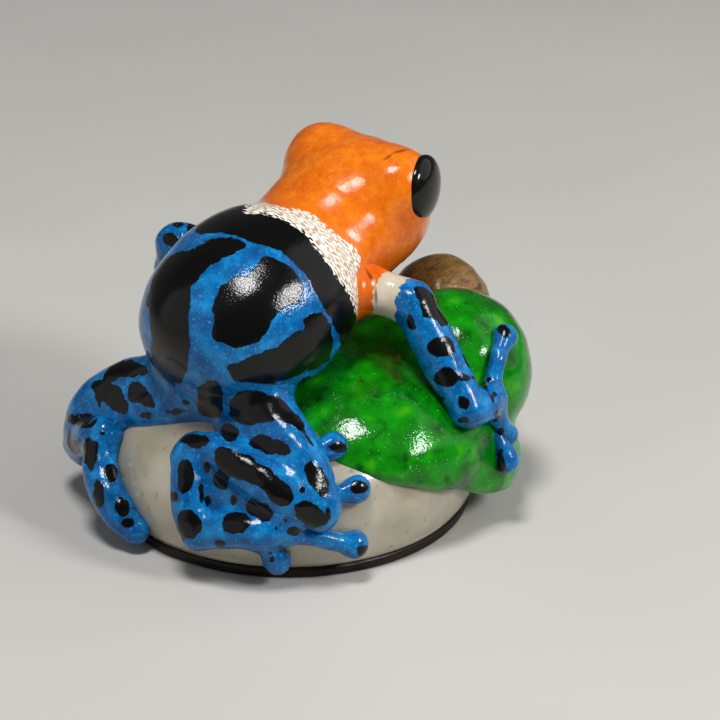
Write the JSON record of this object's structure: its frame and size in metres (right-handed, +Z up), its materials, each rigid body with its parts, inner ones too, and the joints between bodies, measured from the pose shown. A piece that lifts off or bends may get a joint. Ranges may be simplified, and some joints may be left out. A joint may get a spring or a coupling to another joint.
{
  "type": "frog figurine",
  "caption": "Small carved and painted dart frog with an orange head and a black-spotted blue body, sitting on a cream palm nut with a green leafy mound.",
  "frame": {"origin": "centre of the flat underside that the figurine rests on", "axes": "+Z up, out of the top; the frog looks along -Y and its right side is at -X"},
  "size_m": [0.0445, 0.0446, 0.0371],
  "materials": {
    "bare_nut": "polished and varnished bare palm nut",
    "nut_skin": "dark nut skin under varnish",
    "fibrous_skin": "rough brown fibrous skin under varnish",
    "green_paint": "glossy varnish over mottled green paint",
    "blue_paint": "glossy varnish over blue paint with black spots",
    "orange_paint": "glossy varnish over orange paint",
    "black_paint": "glossy varnish over black paint"
  },
  "bodies": {
    "root": {"nut_skin": "nut_skin", "nut_base": "bare_nut", "leaf_mound": "green_paint", "skin_knob": "fibrous_skin", "torso": "blue_paint", "head": "orange_paint", "right_eye": "black_paint", "left_eye": "black_paint", "right_upper_arm": "bare_nut", "right_forearm": "blue_paint", "right_hand": "blue_paint", "right_thigh": "blue_paint", "right_shin": "blue_paint", "right_foot": "blue_paint", "left_upper_arm": "bare_nut", "left_forearm": "blue_paint", "left_hand": "blue_paint", "left_thigh": "blue_paint", "left_shin": "blue_paint", "left_foot": "blue_paint"}
  },
  "joints": []
}
